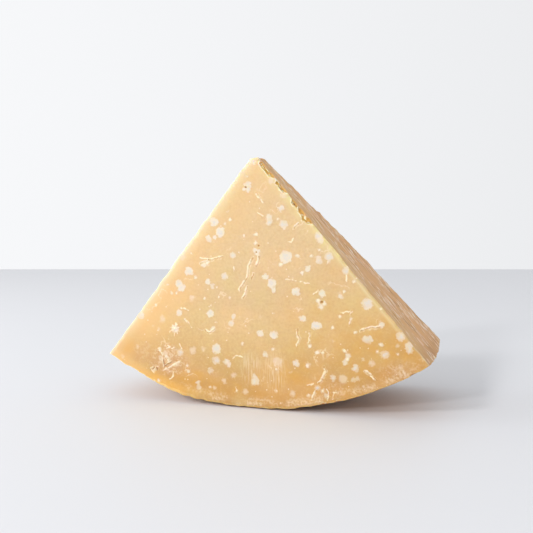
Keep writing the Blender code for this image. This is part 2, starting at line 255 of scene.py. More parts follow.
# %% Crystals: pixel across, pixel down, radius in pixels
CRYSTALS = {
    "near the tip": (
        (253.9, 162, 2.6), (247.8, 185, 3.6), (248.4, 189.2, 3.0), (244.6, 188.6, 2.0), (275.1, 178.6, 1.6),
        (281.1, 208.4, 3.2), (283.6, 224.4, 4.4), (268.8, 217.2, 3.3), (269.4, 221.6, 3.4), (277.7, 218.8, 1.2),
        (227.7, 211.8, 1.3), (230, 219.7, 1.8), (220.3, 232.2, 4.8), (214.8, 237.0, 2.3), (224.6, 223.5, 1.0),
        (255.9, 234.4, 1.9), (243.8, 235.5, 1.2), (255.3, 243.0, 1.7), (254.9, 250.2, 2.3), (258.8, 250.8, 2.0),
        (257.4, 254.0, 2.4), (214.0, 222.0, 4.2), (208.5, 239.1, 3.4),
    ),
    "right of the long crack": (
        (318.8, 236.2, 4.2), (320.4, 240.4, 3.2), (319, 250.2, 1.2), (328.6, 256.5, 4.5), (327.7, 262.6, 1.4),
        (318.7, 260.1, 3.5), (285.6, 257, 6.0), (280.9, 264.4, 1.9), (297.6, 255.5, 1.5), (311.4, 255.8, 1.1),
        (308.2, 268.6, 2.9), (302, 272.5, 1.6), (345.7, 271.3, 3.7), (348.5, 266.5, 1.2), (353.8, 281.8, 1.5),
        (265.5, 276.7, 3.0), (271.5, 283.6, 4.3), (273.9, 290.0, 2.3), (296.1, 291.8, 3.9), (322.4, 293.6, 3.4),
        (343.7, 291.8, 1.4), (367.2, 303.9, 5.3), (381.2, 309.1, 1.2), (340.6, 296.2, 2.2),
        (318.7, 300.4, 1.9), (324.2, 303.4, 2.1), (321.0, 306.4, 2.1),
    ),
    "left of the long crack": (
        (233.2, 255.1, 3.4), (238.9, 252.2, 0.9), (189.4, 271.1, 4.6), (195.3, 276.9, 1.5), (224.5, 276.1, 3.6),
        (207.9, 281.5, 2.9), (212.3, 285.7, 2.6), (179.2, 283.6, 4.0), (181.4, 287.2, 4.2), (167.7, 284.7, 1.3),
        (171.7, 292.6, 1.2), (176.7, 293.5, 1.2), (191.3, 253.3, 1.1), (204.7, 298, 1.1), (218.5, 296.6, 1.0),
        (229.5, 298, 1.2), (210.8, 305.3, 1.1), (155.7, 305, 1.4), (179.2, 312.6, 3.4), (210.1, 313.6, 3.9),
        (175.2, 329, 4.2), (176.4, 324.6, 1.6), (233.3, 317.0, 2.7), (231, 323.4, 2.8), (213.1, 328.8, 2.2),
        (215.4, 322.5, 1.0), (246.9, 176.8, 1.0), (159.6, 350.0, 1.7), (161.2, 358.2, 2.4), (166.4, 357.2, 2.2),
        (180.3, 352.5, 3.6), (187.3, 365.9, 1.3), (216.9, 287.3, 1.1), (203.6, 264.7, 2.5), (207.4, 262.9, 1.9),
        (158.8, 380.4, 1.7), (153.8, 381.4, 1.3), (140.8, 314.8, 3.8),
    ),
    "lower middle": (
        (272.8, 313.2, 1.0), (303.2, 318.5, 3.3), (301.4, 318.3, 2.4), (307.0, 366.0, 1.3), (315.2, 325.2, 3.9), (318.4, 325.2, 3.6),
        (332.7, 327.6, 1.7), (260.2, 333.4, 3.0), (274.1, 334.6, 4.2), (242.6, 343.6, 1.4), (273.2, 349.4, 1.4),
        (264.9, 354.6, 2.7), (317.6, 352.3, 1.9), (323, 352.2, 1.6), (216.4, 348.8, 4.9), (216.5, 360.2, 4.0),
        (226.3, 361.8, 3.2), (229.0, 364.2, 2.6), (211, 370.7, 3.1), (296, 363.6, 3.0), (276.2, 368.7, 1.4),
        (254.9, 381.4, 4.0), (254.4, 376.8, 2.4), (209.9, 386.8, 1.3), (198.2, 382.8, 2.3), (199.0, 386.6, 2.5),
        (276.2, 391.1, 1.8), (188.4, 371.2, 2.3), (309.7, 346.4, 1.8),
    ),
    "right corner": (
        (351.1, 318.5, 1.6), (339.8, 316.1, 1.5), (381.3, 324.4, 2.7), (355.0, 331.9, 1.4), (400.8, 336.6, 4.3), (409.1, 346.4, 3.9),
        (409.8, 350.2, 3.6), (384.8, 354.8, 4.1), (397.8, 353.9, 1.1), (366.6, 339.8, 3.6), (369.0, 339.7, 3.6),
        (381.2, 345.1, 1.7), (377.5, 351.5, 1.2), (363, 360, 1.3), (355.7, 368.6, 3.4), (344.4, 350.7, 1.6),
        (348.4, 355.4, 2.4), (347.0, 359.0, 1.9), (344.9, 362.4, 2.5), (332.9, 378.2, 2.9), (353.8, 380.0, 2.2),
        (357.8, 378.6, 2.2), (308.4, 395.4, 1.9), (366.0, 371.6, 1.8), (317.4, 387.7, 2.7), (323.0, 391.0, 1.9),
        (325.6, 396.0, 2.7),
    ),
}
FAINT_CRYSTALS = {  # these lie a little under the surface
    "left": (
        (208.4, 218.6, 3.2), (182.8, 256.8, 3.8), (191.9, 298, 3.6),
        (162.6, 318.8, 3.8), (193, 350.5, 3.9), (203.4, 348.9, 2.8), (122.3, 357.0, 2.2),
        (137.3, 346.6, 2.3), (152.9, 325.9, 1.8), (158.8, 329.2, 1.8), (224, 381, 2.8), (233.2, 375.3, 3.4),
        (214.8, 387.9, 2.2), (245.2, 391.9, 3.6), (270.3, 181.2, 3.2), (283.5, 195.2, 3.2), (207.6, 264.4, 2.8),
        (165.0, 353.6, 3.4), (168.8, 361.0, 3.0), (176.0, 364.0, 2.6),
    ),
    "right": (
        (340.6, 295.6, 3.4), (277.6, 361.6, 5.4), (308.5, 364.8, 2.8), (292.8, 393.4, 3.3), (342.8, 379.2, 4.5),
        (372.0, 363.5, 3.2), (400.6, 367.2, 2.2), (405.4, 373.4, 1.8), (363, 386.6, 1.8), (397.9, 346, 1.9),
        (321.2, 305.8, 4.2), (323.4, 351.5, 2.0), (307.4, 215.4, 3.6), (290.3, 372.3, 1.7), (333.6, 340.9, 1.2),
    ),
}
print("crystals:", sum(len(group) for group in (*CRYSTALS.values(), *FAINT_CRYSTALS.values())))

# %% Strokes: lines of pixels, by what they are
STROKES = {
    "golden crack": (
        ((260.8, 163.4), (266.0, 170.2), (270.1, 175.6)),
        ((276.6, 182.4), (280.2, 187.4), (283.0, 191.0)),
        ((302.4, 213.4), (303.4, 219.8), (307.0, 222.2), (312.6, 220.9)),
        ((292.6, 202.2), (294.6, 204.4), (296.4, 205.8)),
    ),
    "fissure": (
        ((253.0, 258.2), (250.7, 262.4), (249.1, 266.0), (248.7, 271.2), (248.1, 276.4), (246.5, 279.7)),
        ((246.5, 279.7), (243.9, 282.9), (242.6, 286.0), (239.8, 288.5), (240.9, 291.1)),
        ((259.5, 256.3), (259.2, 260.8), (257.6, 262.8), (256.7, 266.7)),
        ((253.6, 273.6), (253.3, 275.1), (251.7, 278.9)),
        ((247.4, 286.8), (246.5, 291.4), (244.5, 295.3), (243.5, 297.9)),
        ((200.6, 263.6), (206.0, 262.0), (211.4, 259.9), (216.4, 258.4), (222.6, 257.0)),
        ((361.0, 331.6), (364.0, 329.8), (368.3, 328.6), (372.5, 328.0), (376.7, 327.7), (379.6, 327.2)),
        ((323.7, 366.6), (326.5, 370.8), (324.1, 375.8), (321.6, 380.7), (318.8, 383.5)),
        ((316.4, 391.0), (313.7, 395.6), (313.2, 399.7)),
        ((297.7, 329.6), (298.4, 336.3), (300.1, 339.2), (297.9, 343.4), (297.7, 346.5)),
        ((364.8, 371.2), (371.0, 375.5), (376.9, 380.6)),
        ((205.0, 330.5), (209.1, 333.4), (214.8, 329.4)),
        ((298.6, 224.0), (295.6, 226.0), (294.4, 228.6)),
    ),
    "crumb line": (
        ((351.4, 310.8), (351.2, 314.6)),
        ((351.1, 316.8), (350.9, 321.7), (349.9, 325.6)),
        ((310.0, 331.5), (310.0, 340.0), (309.6, 344.5)),
        ((255.5, 192.5), (259.6, 197.0), (264.2, 202.8)),
        ((236.0, 387.6), (237.4, 390.6), (235.4, 393.4)),
        ((156.5, 350.5), (159.6, 348.6), (162.2, 352.0), (163.8, 356.0)),
        ((163.8, 356.0), (168.0, 358.9), (169.8, 361.5)),
        ((163.6, 371.0), (169.4, 368.0), (175.0, 364.5), (180.6, 361.7)),
        ((149.7, 369.6), (152.4, 367.8), (153.9, 372.2), (156.7, 367.8)),
        ((331.5, 393.4), (337.0, 393.3), (337.2, 390.5)),
    ),
    "hairline": (
        ((257.3, 212.9), (263.0, 216.2)),
        ((293.6, 237.7), (291.6, 242.2), (288.2, 241.7)),
        ((285.5, 279.2), (296.2, 280.6)),
        ((300.3, 281.9), (309.0, 283.3)),
        ((346.3, 275.5), (346.5, 281.0)),
        ((341.2, 312.9), (346.0, 312.0), (352.1, 311.7)),
        ((313.3, 293.9), (318.2, 290.9)),
        ((180.9, 307.6), (188.4, 310.1)),
        ((185.0, 319.0), (191.8, 327.3)),
        ((232.6, 358.1), (237.2, 355.2), (242.4, 357.1)),
        ((174.0, 368.7), (173.8, 375.7), (170.1, 378.5)),
        ((307.3, 384.9), (310.6, 384.9), (313.4, 383.7)),
        ((333.3, 392.7), (332.5, 399.4)),
        ((327.0, 389.4), (328.4, 393.2), (327.6, 400.0)),
        ((234.0, 266.4), (233.8, 271.6)),
        ((199.9, 257.9), (207.0, 258.4), (211.0, 259.6)),
        ((166.3, 349.0), (170.0, 346.8)),
        ((179.5, 344.0), (181.5, 348.5)),
        ((167.9, 345.2), (169.2, 346.6)),
        ((171.8, 348.2), (174.0, 347.2)),
    ),
    "star ray": (
        ((169.8, 331.4), (180.4, 326.8)),
        ((172.0, 324.6), (177.8, 334.0)),
        ((175.6, 321.8), (174.4, 336.0)),
        ((170.6, 327.2), (179.4, 331.2)),
    ),
    "brown split": (
        ((163.9, 360.2), (164.6, 363.8), (164.6, 367.4)),
        ((164.8, 366.2), (170.9, 362.6)),
        ((153.7, 367.9), (154.0, 368.6)),
        ((157.1, 367.6), (157.3, 369.2)),
    ),
}
PITS = (  # pixel across, pixel down, radius in pixels
    (258.5, 245.3, 1.4),
    (256.4, 252.2, 0.9),
    (209.0, 259.7, 1.0),
    (245.9, 187.3, 1.2),
    (321.6, 302.2, 1.5),
    (294.4, 203.8, 2.0),
    (300.2, 206.6, 1.0),
)
print("strokes:", sum(len(lines) for lines in STROKES.values()), "pits:", len(PITS))

# %% What each kind of stroke is like
# Each stroke has a groove and, on both sides of it, a raised and paler lip. For each kind: how far the
# lips lie from the middle and how wide they are, the groove's width and depth, all in mm, then how
# pale the lips are and how golden and brown the groove is. The golden and brown are painted shade in
# the groove's hollow.
STROKE_LOOKS = {
    "golden crack": (1.2, 0.9, 1.9, 0.8, 0.6, 1.0, 0.0),
    "fissure": (0.5, 1.5, 0.8, 0.2, 1.0, 0.3, 0.15),
    "crumb line": (0.35, 1.4, 0.6, 0.15, 0.85, 0.1, 0.15),
    "hairline": (0.0, 1.2, 0.0, 0.0, 0.65, 0.0, 0.0),
    "brown split": (0.9, 0.8, 1.0, 0.3, 0.5, 0.0, 0.6),
    "star ray": (0.0, 1.0, 0.0, 0.0, 0.55, 0.0, 0.0),
}
LIP_RISE = 0.1 * MM
LIT_LIFTED_SIDE = np.array((-0.8, 0.6))  # the lips on this side face the lamps at the upper left: raised a little more and painted paler, partly a painted highlight
LOW_LIP = 0.35  # how strong the lip on the other side, away from the lamps, is
CRUMB_PIXELS = 2  # crystals with a smaller radius stick out as crumbs, brighter than the rest
CRUMB_PALENESS = 0.75
PIT_DEPTH = 0.4 * MM
RAGGED = 0.6 * MM  # how far noise pushes a stroke aside
RAGGED_LENGTH = 2.0 * MM


def bowl(apart, radius):
    """1 in the middle of a round hollow, falling to 0 at its rim."""
    return np.clip(1 - (apart / radius) ** 2, 0, None)


def distance_to_line(places, line):
    """Each place's distance from a line of points, and whether it lies on the line's lit, lifted side."""
    nearest = np.full(len(places), np.inf)
    lit_lifted = np.zeros(len(places), dtype=bool)
    for start, end in zip(line[:-1], line[1:]):
        run = end - start
        along = np.clip((places - start) @ run / (run @ run), 0, 1)
        offset = places - start - along[:, None] * run
        apart = np.linalg.norm(offset, axis=1)
        lit_lifted = np.where(apart < nearest, offset @ LIT_LIFTED_SIDE > 0, lit_lifted)
        nearest = np.minimum(nearest, apart)
    return nearest, lit_lifted


def lips_and_groove(places, kind, line):
    """How much a stroke's lips and its groove cover each place, from 0 to 1."""
    away, lip_width, groove_width = (size * MM for size in STROKE_LOOKS[kind][:3])
    dots = np.array([on_front(*dot) for dot in line])
    apart, lit_lifted = distance_to_line(places, dots)
    lips = bowl(np.abs(apart - away), 0.5 * lip_width)
    groove = bowl(apart, 0.5 * groove_width) if groove_width else 0 * apart
    if away:
        to_end = np.minimum(*(np.linalg.norm(places - end, axis=1) for end in (dots[0], dots[-1])))
        # the lip facing the lamps is stronger: raised more and painted paler, a painted highlight
        lips *= np.where(lit_lifted, 1.0, LOW_LIP) * np.clip(to_end / lip_width, 0, 1)
    return lips, groove


def noise_at(points, wave_length, shift=0.0):
    """Smooth noise between -1 and 1 at each point, its bumps about a wave length apart."""
    samples = points / np.asarray(wave_length) + shift
    return np.array([noise.noise(Vector(sample)) for sample in samples])


def ragged(points):
    """Places on the front cut, each pushed aside a little, so that a stroke drawn there isn't smooth."""
    push = [noise_at(points, RAGGED_LENGTH, shift) for shift in (3.0, 9.0)]
    return points[:, [0, 2]] + RAGGED * np.column_stack(push)


def near_mark(places, margin):
    """Which places on the front cut lie on a stroke or pit, or this near to one."""
    near = np.zeros(len(places), dtype=bool)
    for kind, lines in STROKES.items():
        away, lip_width, groove_width = (size * MM for size in STROKE_LOOKS[kind][:3])
        reach = max(away + lip_width / 2, groove_width / 2) + margin
        for line in lines:
            near |= distance_to_line(places, np.array([on_front(*dot) for dot in line]))[0] < reach
    for x, y, radius in PITS:
        near |= np.linalg.norm(places - on_front(x, y), axis=1) < radius * PIXEL + margin
    return near


# %% [markdown]
# ## Dividing the skin
#
# A voxel remesh would give even faces but round off every edge. Instead each flat side is scored with
# parallel planes, in two directions, into squares. subdivide_edges then divides every square evenly, the
# front and right cuts once more, and what lies near a crack once more again, so that the faces are small only
# where there is something to show.

# %% Score the flat sides
SQUARE = 5.3 * MM
TOUCH = 0.02 * MM  # a point this near to a cut lies on it
SHORTEST_EDGE = 0.5 * MM


def score(body, normal, sides):
    """Scores lines into the faces of some sides, square to a direction and one square apart."""
    numbers = [SIDES.index(side) for side in sides]
    reach = [vert.co.dot(normal) for vert in body.verts]
    for place in np.arange(min(reach) + SQUARE / 2, max(reach), SQUARE):
        geometry = set()
        for face in body.faces:
            if face.material_index in numbers:
                geometry.update((face, *face.edges, *face.verts))
        bmesh.ops.bisect_plane(body, geom=list(geometry), plane_co=float(place) * normal, plane_no=normal)


score(skin, RIGHT_ALONG, ("front", "right", "rear_low", "rear_high"))
score(skin, CUTS["right"][1], ("front", "left", "blunt", "rear_low", "rear_high"))
score(skin, DEPTHWARDS, ("left", "right"))
bmesh.ops.remove_doubles(skin, verts=skin.verts, dist=SHORTEST_EDGE)
bmesh.ops.triangulate(skin, faces=skin.faces)
print("scored skin:", len(skin.faces), "triangles")

# %% Divide it
FINE_CUTS = 3
MARK_MARGIN = 0.3 * MM  # round a stroke or pit, what is divided once more


def divide(body, edges, cuts):
    """Divides some edges evenly and makes the faces triangles again."""
    bmesh.ops.subdivide_edges(body, edges=edges, cuts=cuts, use_grid_fill=True)
    bmesh.ops.triangulate(body, faces=[face for face in body.faces if len(face.verts) > 3])


def side_edges(body, side):
    """The edges of every face on one side."""
    number = SIDES.index(side)
    return list({edge for face in body.faces if face.material_index == number for edge in face.edges})


divide(skin, skin.edges[:], FINE_CUTS)
divide(skin, side_edges(skin, "right"), 1)
divide(skin, side_edges(skin, "front"), 1)
front_edges = side_edges(skin, "front")
middles = np.array([(edge.verts[0].co + edge.verts[1].co) / 2 for edge in front_edges])
near_marks = near_mark(ragged(middles), MARK_MARGIN)
divide(skin, [edge for edge, near in zip(front_edges, near_marks) if near], 1)
print("divided skin:", len(skin.faces), "triangles")

# %% [markdown]
# ## Shaping the skin
#
# No cut is quite flat. A wire bends, so a cut face has soft waves; the right side was torn and has
# furrows along it; the rind has dents and one swelling. The same smooth noise as in the solid gives
# them here, so skin and solid agree, and finer relief is laid over it. Every point is moved along its
# own side's direction by a height in metres.

# %% Gaps
def gap_to(points, name):
    """Each point's distance from a cut's plane."""
    on, normal = CUTS[name]
    return np.abs((points - np.array(on)) @ np.array(normal))


def gap_to_rind(points):
    """Each point's distance from the turned barrel."""
    across = np.hypot(points[:, 0], points[:, 2] - AXIS_HEIGHT)
    return np.abs(across - rind_radius(points[:, 1]))


# %% Relief of each side
CUT_WAVE = 0.4 * MM
CUT_WAVE_LENGTH = 34 * MM
WAVE_SHIFT = 1.7
FURROW_DEPTH = 0.35 * MM
FURROW_WIDTH = 3.2 * MM
FURROW_LENGTH = 30 * MM
FINE_FURROW_DEPTH = 0.34 * MM
FINE_FURROW_WIDTH = 2.2 * MM
FINE_FURROW_LENGTH = 11 * MM
RIND_WAVE = 0.3 * MM
RIND_WAVE_LENGTH = 22 * MM
SWELL_HEIGHT = 1.6 * MM
SWELL_ANGLE = math.radians(-15)
SWELL_SPREAD = math.radians(5.5)
SWELL_DEPTH = 45 * MM


def front_relief(points):
    """Height of the front cut over its plane: strokes and pits go below it."""
    places = ragged(points)
    height = np.zeros(len(points))
    for kind, lines in STROKES.items():
        depth = STROKE_LOOKS[kind][3] * MM
        for line in lines:
            lips, groove = lips_and_groove(places, kind, line)
            height += LIP_RISE * lips - depth * groove
    for x, y, radius in PITS:
        height -= PIT_DEPTH * bowl(np.linalg.norm(places - on_front(x, y), axis=1), radius * PIXEL)
    return height


def right_relief(points):
    """Height of the right cut over its plane: broad and fine furrows run along it."""
    along = (points - TIP) @ np.array(RIGHT_ALONG)
    broad = np.column_stack((along / FURROW_LENGTH, points[:, 1] / FURROW_WIDTH, 0 * along))
    fine = np.column_stack((along / FINE_FURROW_LENGTH, points[:, 1] / FINE_FURROW_WIDTH, 0 * along))
    return FURROW_DEPTH * noise_at(broad, 1.0) + FINE_FURROW_DEPTH * (noise_at(fine, 1.0, 5.0) - 0.5)


def rind_relief(points):
    """Height of the rind over the turned barrel: soft dents, and the swelling on its left."""
    angle = np.arctan2(points[:, 0], AXIS_HEIGHT - points[:, 2])
    aside = (angle - SWELL_ANGLE) / SWELL_SPREAD
    behind = (points[:, 1] - FRONT_Y) / SWELL_DEPTH
    swell = SWELL_HEIGHT * np.exp(-(aside**2) - behind**2)
    return swell + RIND_WAVE * noise_at(points, RIND_WAVE_LENGTH)


# %% [markdown]
# ## Crumbled edges
#
# A hard cheese doesn't keep a sharp edge. Every edge is worn by an uneven fraction of a millimetre, and
# near the tip scoops have broken out of the front's right edge. A Bevel modifier would round all edges
# alike; here points near an edge move inwards by smooth noise, and a scoop presses them onto a ball.

# %% Wear and scoops
EDGE_WEAR = 0.65 * MM
EDGE_WEAR_REACH = 2.2 * MM
EDGE_WEAR_LENGTH = 4 * MM
EDGE_WEAR_EVEN = 0.45
EDGE_SCOOPS = (  # distance along the edge from the tip, radius, how far it bites in, all in mm
    (9.0, 5.0, 1.3),
    (16.5, 4.0, 1.5),
    (27.0, 5.5, 1.6),
    (37.5, 4.0, 1.5),
    (44.0, 4.5, 2.0),
    (50.5, 3.5, 1.8),
)
NOTCH_X = 41.6 * MM  # a crumb is missing from the rind's front edge here
NOTCH_RADIUS = 2.6 * MM
NOTCH_BITE = 1.1 * MM


def edge_wear(points):
    """How far each point has crumbled away: most on an edge, nothing beyond its reach."""
    gaps = [gap_to(points, name) for name in CUTS if name != "rest"]
    gaps.append(gap_to_rind(points))
    to_next_side = np.sort(gaps, axis=0)[1]
    uneven = EDGE_WEAR_EVEN + noise_at(points, EDGE_WEAR_LENGTH)
    return EDGE_WEAR * np.clip(uneven, 0, None) * bowl(to_next_side, EDGE_WEAR_REACH)


def scoops():
    """Each scoop as the centre and radius of a ball that stands outside the edge it is broken from."""
    outward = (CUTS["front"][1] + CUTS["right"][1]).normalized()
    found = []
    for along, radius, bite in EDGE_SCOOPS:
        centre = TIP + along * MM * RIGHT_ALONG + (radius - bite) * MM * outward
        found.append((centre, radius * MM))
    edge = on_rind(math.asin(NOTCH_X / rind_radius(FRONT_Y)), FRONT_Y)
    outward = ((edge - AXIS - FRONT_Y * DEPTHWARDS).normalized() - DEPTHWARDS).normalized()
    found.append((edge + (NOTCH_RADIUS - NOTCH_BITE) * outward, NOTCH_RADIUS))
    return found


# %% Move every point
RIND_TOUCH = 0.12 * MM


def shape(points):
    """Where each point of the plain skin goes."""
    moved = points.copy()
    for number, (name, (_, normal)) in enumerate(CUTS.items()):
        here = gap_to(points, name) < TOUCH
        height = CUT_WAVE * noise_at(points[here], CUT_WAVE_LENGTH, WAVE_SHIFT * number)
        if name == "front":
            height += front_relief(points[here])
        if name == "right":
            height += right_relief(points[here])
        moved[here] += height[:, None] * np.array(normal)
    here = gap_to_rind(points) < RIND_TOUCH
    outward = points[here] * (1, 0, 1) - np.array(AXIS)
    outward /= np.linalg.norm(outward, axis=1)[:, None]
    moved[here] += rind_relief(points[here])[:, None] * outward
    inward = np.array(MIDDLE) - points
    inward /= np.linalg.norm(inward, axis=1)[:, None]
    moved += edge_wear(points)[:, None] * inward
    moved[:, 2] = np.clip(moved[:, 2], 0, None)
    resting = gap_to(points, "rest") < TOUCH
    moved[resting] = points[resting]
    return moved


def break_scoops(points):
    """Presses every point inside a scoop's ball out onto it; also gives each point's gap to the nearest."""
    broken = points.copy()
    nearest = np.full(len(points), np.inf)
    for centre, radius in scoops():
        offset = broken - np.array(centre)
        apart = np.linalg.norm(offset, axis=1)
        nearest = np.minimum(nearest, apart - radius)
        here = apart < radius
        broken[here] = np.array(centre) + offset[here] / apart[here, None] * radius
    return broken, nearest


plain = np.array([vert.co for vert in skin.verts])
shaped, scoop_gap = break_scoops(shape(plain))
for vert, place in zip(skin.verts, shaped):
    vert.co = place
bmesh.ops.recalc_face_normals(skin, faces=skin.faces)
print("deepest mark:", round(float((shaped - plain)[:, 1].max()) / MM, 2), "mm")

# %% [markdown]
# ## From work mesh to piece
#
# The finished skin becomes a mesh on an object at the origin. It stands for the solid node, which the
# frame then hides. A tree of the solid's faces measures how well the two agree.

# %% Make the chunk's object
chunk_mesh = bpy.data.meshes.new("cheese_chunk")
skin.to_mesh(chunk_mesh)
skin.free()
chunk_mesh.shade_smooth()
chunk = bpy.data.objects.new("cheese_chunk", chunk_mesh)
bpy.context.collection.objects.link(chunk)
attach(chunk, "root")
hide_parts("grana_chunk")

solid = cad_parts["grana_chunk"]
tree = BVHTree.FromPolygons(
    [vert.co for vert in solid.data.vertices], [face.vertices for face in solid.data.polygons]
)
apart = np.array([tree.find_nearest(Vector(place))[3] for place in shaped])
print("skin off solid: mean", round(float(apart.mean()) / MM, 3), "most", round(float(apart.max()) / MM, 2), "mm")

# %% [markdown]
# ## Marks as numbers on the skin
#
# The finishes need to know where the crystals and cracks are. Painting a picture would tie them to its
# pixels. Instead each point stores a few numbers, such as its distance from the nearest crystal's edge.
# A distance changes smoothly, so the material can turn it into a sharp outline at any enlargement.

# %% Crystals on all the sides
BURIED_PER_SIDE = {"left": 44, "right": 40, "rear_low": 90, "rear_high": 26}
CRYSTAL_SMALLEST = 0.5 * MM
CRYSTAL_LARGEST = 3.2 * MM
draw = random.Random(11)


def crystals_seen():
    """Crystals that the picture shows: centres and radii, clear ones and faint ones."""
    clear = [(x, FRONT_Y, z, r) for group in CRYSTALS.values() for x, z, r in map(front_dot, group)]
    faint = [(x, FRONT_Y, z, r) for group in FAINT_CRYSTALS.values() for x, z, r in map(front_dot, group)]
    return clear, faint


def front_dot(dot):
    """A dot in pixels as x, height and radius on the front cut."""
    x, z = on_front(dot[0], dot[1])
    return x, z, dot[2] * PIXEL


def crystals_unseen(side, count):
    """Crystals drawn at random on a side that the picture doesn't show."""
    on_side = np.flatnonzero(gap_to(plain, side) < TOUCH)
    found = []
    for _ in range(count):
        centre = plain[on_side[draw.randrange(len(on_side))]]
        radius = CRYSTAL_SMALLEST + (CRYSTAL_LARGEST - CRYSTAL_SMALLEST) * draw.random() ** 2
        found.append((*centre, radius))
    return found


clear_crystals, faint_crystals = crystals_seen()
for side, count in BURIED_PER_SIDE.items():
    unseen = crystals_unseen(side, count)
    clear_crystals += unseen[::2] + unseen[1::4]
    faint_crystals += unseen[3::4]
print("clear:", len(clear_crystals), "faint:", len(faint_crystals))

# %% Store the numbers
FARTHEST = 6 * MM
AMBER_PATCHES = (  # pixel across, pixel down, half width, half height, strength
    (188, 379, 32, 13, 0.8),
    (163, 376, 17, 9, 0.7),
    (126, 348, 15, 14, 0.9),
    (232, 390, 28, 11, 0.6),
    (300, 385, 52, 32, 0.6),
    (392, 350, 82, 52, 0.55),
    (340, 395, 40, 20, 0.5),
    (336, 276, 28, 26, 0.2),
    (328, 325, 66, 56, 0.3),
    (266, 388, 40, 24, 0.45),
    (215, 388, 34, 14, 0.5),
)
CRUMBLY_SPOTS = (
    (168, 361, 26, 20, 1.0),
    (146, 352, 18, 12, 0.4),
    (404, 374, 30, 15, 0.6),
    (330, 386, 22, 16, 0.4),
)
CHIPPED_WIDTH = 7 * MM
CHIPPED_FOOT = 82 * MM  # above this height the front's right edge has crumbled
CHIPPED_FADE = 10 * MM


def gap_to_balls(balls):
    """Each point's distance from the surface of the nearest ball, negative inside it, in mm."""
    gap = np.full(len(plain), FARTHEST)
    for x, y, z, radius in balls:
        gap = np.minimum(gap, np.linalg.norm(plain - (x, y, z), axis=1) - radius)
    return gap / MM


def stroke_paint():
    """How pale the strokes' lips make each point, and the painted shade, golden and brown, in grooves and pits."""
    places = ragged(plain)
    pale, golden, brown = np.zeros((3, len(plain)))
    for kind, lines in STROKES.items():
        paleness, gold, dark = STROKE_LOOKS[kind][4:]
        for line in lines:
            lips, groove = lips_and_groove(places, kind, line)
            pale = np.maximum(pale, paleness * lips)
            golden = np.maximum(golden, gold * groove)
            brown = np.maximum(brown, dark * groove)
    for x, y, radius in PITS:
        apart = np.linalg.norm(places - on_front(x, y), axis=1)
        golden = np.maximum(golden, bowl(apart, 1.2 * radius * PIXEL))
        brown = np.maximum(brown, bowl(apart, 0.8 * radius * PIXEL))
    for group in CRYSTALS.values():
        for x, z, radius in map(front_dot, group):
            if radius < CRUMB_PIXELS * PIXEL:
                apart = np.linalg.norm(plain[:, [0, 2]] - (x, z), axis=1)
                pale = np.maximum(pale, CRUMB_PALENESS * bowl(apart, radius))
    on_cut = gap_to(plain, "front") < TOUCH
    return pale * on_cut, golden * on_cut, brown * on_cut


def patches(*ovals):
    """Soft oval patches on the front cut, given in pixels, each with its strength in the middle."""
    covered = np.zeros(len(plain))
    for x, y, half_width, half_height, strength in ovals:
        place = on_front(x, y)
        aside = (plain[:, 0] - place[0]) / (half_width * PIXEL)
        above = (plain[:, 2] - place[1]) / (half_height * PIXEL)
        covered = np.maximum(covered, strength * bowl(np.hypot(aside, above), 1.0))
    return covered * (gap_to(plain, "front") < TOUCH)


def store(name, values):
    """Keeps one number for each point of the chunk."""
    attribute = chunk_mesh.attributes.new(name, "FLOAT", "POINT")
    attribute.data.foreach_set("value", np.asarray(values, dtype=np.float32))


pale_strokes, golden_shade_strokes, brown_shade_strokes = stroke_paint()
store("crystal_gap", gap_to_balls(clear_crystals))
store("faint_gap", gap_to_balls(faint_crystals))
store("pale", pale_strokes)
# golden and brown: painted shade in the strokes' grooves and in pits
store("golden", golden_shade_strokes)
store("brown", brown_shade_strokes)
store("scoop_gap", np.clip(scoop_gap, None, FARTHEST) / MM)
store("comb", patches((251, 368, 13, 21, 1.0), (275, 372, 15, 26, 1.0)))
store("crumbly", patches(*CRUMBLY_SPOTS))
store("amber", patches(*AMBER_PATCHES))
chipped = np.clip((CHIPPED_WIDTH - gap_to(plain, "right")) / CHIPPED_WIDTH, 0, 1)
store("chipped", chipped * np.clip((plain[:, 2] - CHIPPED_FOOT) / CHIPPED_FADE, 0, 1))
store("to_rind", gap_to_rind(plain) / MM)
store("to_left", gap_to(plain, "left") / MM)
store("to_right", gap_to(plain, "right") / MM)
store("to_front", gap_to(plain, "front") / MM)
store("to_rear", np.minimum(gap_to(plain, "rear_low"), gap_to(plain, "rear_high")) / MM)
print("numbers:", [name for name in chunk_mesh.attributes.keys() if name[0] != "."])

# %% [markdown]
# ## Colours and nodes
#
# Colours are written as they look on a screen, in hex, and one function turns them to the linear values
# that the renderer works in. One small function adds a node, sets it up and links it, so that each
# material below reads as a list of what is laid over what.


# %% Helpers for materials
def colour(hexadecimal):
    """A screen colour such as "f0d8a8" as linear red, green, blue and alpha."""
    parts = [int(hexadecimal[start:start + 2], 16) / 255 for start in (0, 2, 4)]
    linear = [part / 12.92 if part <= 0.04045 else ((part + 0.055) / 1.055) ** 2.4 for part in parts]
    return (*linear, 1.0)


def add(material, kind, inputs=None, **settings):
    """Adds a node, sets its properties and fills its inputs with values or with other nodes' outputs."""
    node = material.node_tree.nodes.new(kind)
    for name, value in settings.items():
        setattr(node, name, value)
    for name, value in (inputs or {}).items():
        if isinstance(value, bpy.types.NodeSocket):
            material.node_tree.links.new(value, node.inputs[name])
        else:
            node.inputs[name].default_value = value
    return node


FACTOR, FIRST, SECOND, RESULT = 0, 6, 7, 2  # a colour Mix node's sockets, by number


def per(millimetres):
    """The scale that makes a pattern repeat at about this size."""
    return 1 / (millimetres * MM)


def stored(material, name):
    """The output that reads one of the chunk's stored numbers."""
    return add(material, "ShaderNodeAttribute", attribute_name=name).outputs["Fac"]


def lay_over(material, under, over, amount):
    """Lays a colour over another by an amount, which is a number or an output."""
    mixed = add(
        material, "ShaderNodeMix", {FACTOR: amount, FIRST: under, SECOND: over}, data_type="RGBA"
    )
    return mixed.outputs[RESULT]


